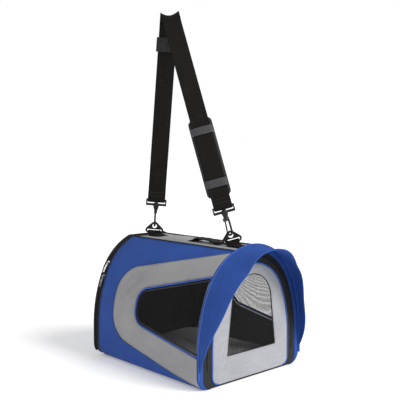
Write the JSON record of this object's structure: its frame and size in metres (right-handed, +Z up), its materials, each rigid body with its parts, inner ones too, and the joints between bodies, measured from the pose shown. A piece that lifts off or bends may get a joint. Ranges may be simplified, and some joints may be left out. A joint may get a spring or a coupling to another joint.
{
  "type": "pet carrier bag",
  "caption": "Soft arched pet carrier bag with a hooded front door, a rear door, mesh windows, a grab handle and a clip-on shoulder strap.",
  "frame": {"origin": "middle of the underside of the base, halfway between the two end seams", "axes": "+Z up, the hooded front door faces -Y, +X is the right side when facing the front door"},
  "size_m": [0.298, 0.4046, 0.7705],
  "materials": {
    "blue_fabric": "woven polyester, slight sheen",
    "grey_fabric": "woven polyester",
    "door_fabric": "woven polyester",
    "mesh": "open net",
    "blue_piping": "corded piping",
    "black_webbing": "polypropylene webbing",
    "handle_fabric": "padded webbing",
    "zip_tape": "zip tape",
    "base_fabric": "coated fabric",
    "board": "plain board",
    "pad_fabric": "fleece cushion",
    "spring_steel": "spring strip",
    "black_plastic": "moulded acetal",
    "pin_steel": "plain",
    "nickel": "nickel plated",
    "shoulder_pad_fabric": "padded fabric",
    "grey_webbing": "woven band"
  },
  "bodies": {
    "bag": {"side_panel_left": "blue_fabric", "side_panel_right": "blue_fabric", "side_band_left": "grey_fabric", "side_band_right": "grey_fabric", "side_window_left": "mesh", "side_window_right": "mesh", "window_piping_left": "blue_piping", "window_piping_right": "blue_piping", "top_panel": "grey_fabric", "top_binding_left": "black_webbing", "top_binding_right": "black_webbing", "base_panel": "base_fabric", "floor_board": "board", "floor_pad": "pad_fabric", "front_hoop": "spring_steel", "rear_hoop": "spring_steel", "front_border": "blue_fabric", "front_zip_tape": "zip_tape", "front_seam_piping": "blue_piping", "hood": "blue_fabric", "rear_gusset": "zip_tape", "front_tab": "black_webbing", "rear_tab": "black_webbing", "handle_ends": "black_webbing"},
    "front_door": {"front_door_panel": "door_fabric", "front_door_mesh": "mesh", "front_door_piping": "blue_piping"},
    "rear_door": {"rear_door_panel": "blue_fabric", "rear_door_binding": "zip_tape"},
    "handle": {"handle_grip": "handle_fabric"},
    "strap": {"strap_webbing": "black_webbing"},
    "adjuster": {"strap_adjuster": "black_plastic"},
    "pad": {"shoulder_pad": "shoulder_pad_fabric", "pad_loops": "grey_webbing"},
    "front_frame": {"front_swivel_frame": "black_plastic", "strap_end_front": "black_webbing"},
    "rear_frame": {"rear_swivel_frame": "black_plastic", "strap_end_rear": "black_webbing"},
    "front_clip": {"front_ring": "black_plastic", "front_hook": "black_plastic", "front_gate_pin": "pin_steel"},
    "rear_clip": {"rear_ring": "black_plastic", "rear_hook": "black_plastic", "rear_gate_pin": "pin_steel"},
    "front_gate": {"front_gate": "black_plastic"},
    "rear_gate": {"rear_gate": "black_plastic"},
    "front_slider_upper": {"front_slider_upper": "nickel"},
    "front_pull_upper": {"front_pull_upper": "nickel"},
    "front_slider_lower": {"front_slider_lower": "nickel"},
    "front_pull_lower": {"front_pull_lower": "nickel"},
    "rear_slider_upper": {"rear_slider_upper": "nickel"},
    "rear_pull_upper": {"rear_pull_upper": "nickel"},
    "rear_slider_lower": {"rear_slider_lower": "nickel"},
    "rear_pull_lower": {"rear_pull_lower": "nickel"}
  },
  "joints": [
    {"name": "front_door_fold", "type": "hinge", "parent": "bag", "child": "front_door", "pos_m": [0, -0.1625, 0.0034], "axis": [1, 0, 0], "range_deg": [0, 90]},
    {"name": "rear_door_fold", "type": "hinge", "parent": "bag", "child": "rear_door", "pos_m": [0, 0.1793, 0.0034], "axis": [-1, 0, 0], "range_deg": [0, 90]},
    {"name": "front_slider_upper_travel", "type": "hinge", "parent": "bag", "child": "front_slider_upper", "pos_m": [0.142, -0.1625, 0.072], "axis": [0, 1, 0], "range_deg": [0, 8]},
    {"name": "front_pull_upper_flip", "type": "hinge", "parent": "front_slider_upper", "child": "front_pull_upper", "pos_m": [-0.11397, -0.167, 0.14059], "axis": [-0.9659, 0, 0.2588], "range_deg": [0, 150]},
    {"name": "front_slider_lower_travel", "type": "hinge", "parent": "bag", "child": "front_slider_lower", "pos_m": [0.142, -0.1625, 0.072], "axis": [0, 1, 0], "range_deg": [-8, 0]},
    {"name": "front_pull_lower_flip", "type": "hinge", "parent": "front_slider_lower", "child": "front_pull_lower", "pos_m": [-0.11974, -0.167, 0.11346], "axis": [-0.9877, 0, 0.1564], "range_deg": [0, 150]},
    {"name": "rear_slider_upper_travel", "type": "hinge", "parent": "bag", "child": "rear_slider_upper", "pos_m": [0, 0.1687, 0.13559], "axis": [0, 1, 0], "range_deg": [0, 30]},
    {"name": "rear_pull_upper_flip", "type": "hinge", "parent": "rear_slider_upper", "child": "rear_pull_upper", "pos_m": [-0.11856, 0.1687, 0.20682], "axis": [0, 1, 0], "range_deg": [0, 150]},
    {"name": "rear_slider_lower_travel", "type": "hinge", "parent": "bag", "child": "rear_slider_lower", "pos_m": [0.142, 0.1687, 0.072], "axis": [0, 1, 0], "range_deg": [-13, 0]},
    {"name": "rear_pull_lower_flip", "type": "hinge", "parent": "rear_slider_lower", "child": "rear_pull_lower", "pos_m": [-0.13238, 0.1687, 0.17732], "axis": [0, 1, 0], "range_deg": [0, 150]},
    {"name": "handle_lift", "type": "slide", "parent": "bag", "child": "handle", "axis": [0, 0, 1], "range_m": [0, 0.018]},
    {"name": "strap_swing", "type": "hinge", "parent": "bag", "child": "strap", "pos_m": [0, 0.15, 0.2676], "axis": [0, -1, 0.0054], "range_deg": [-15, 15]},
    {"name": "front_clip_swing", "type": "hinge", "parent": "bag", "child": "front_clip", "pos_m": [0, -0.107, 0.269], "axis": [0, -1, 0.0054], "range_deg": [-15, 15]},
    {"name": "rear_clip_swing", "type": "hinge", "parent": "bag", "child": "rear_clip", "pos_m": [0, 0.15, 0.2676], "axis": [0, -1, 0.0054], "range_deg": [-15, 15]},
    {"name": "front_swivel", "type": "hinge", "parent": "strap", "child": "front_frame", "pos_m": [-0.00053, -0.08132, 0.33412], "axis": [-0.0076, 0.3668, 0.9303], "range_deg": [-180, 180]},
    {"name": "rear_swivel", "type": "hinge", "parent": "strap", "child": "rear_frame", "pos_m": [0.00057, 0.14264, 0.33721], "axis": [0.0081, -0.1051, 0.9944], "range_deg": [-180, 180]},
    {"name": "front_gate_open", "type": "hinge", "parent": "front_clip", "child": "front_gate", "pos_m": [0.00006, -0.0845, 0.31194], "axis": [-0.9965, 0.0743, -0.0375], "range_deg": [0, 22], "stiffness_Nm_per_rad": 0.02},
    {"name": "rear_gate_open", "type": "hinge", "parent": "rear_clip", "child": "rear_gate", "pos_m": [0.00392, 0.14873, 0.3159], "axis": [-0.7339, 0.6748, 0.0773], "range_deg": [0, 22], "stiffness_Nm_per_rad": 0.02},
    {"name": "adjuster_slide", "type": "slide", "parent": "strap", "child": "adjuster", "axis": [0.0081, -0.1051, 0.9944], "range_m": [-0.3, 0.02]},
    {"name": "pad_slide", "type": "slide", "parent": "strap", "child": "pad", "axis": [-0.0076, 0.3668, 0.9303], "range_m": [0, 0.17]}
  ],
  "couplings": [
    {"joint": "front_clip_swing", "follows": "strap_swing", "ratio": 1},
    {"joint": "rear_clip_swing", "follows": "strap_swing", "ratio": 1}
  ]
}
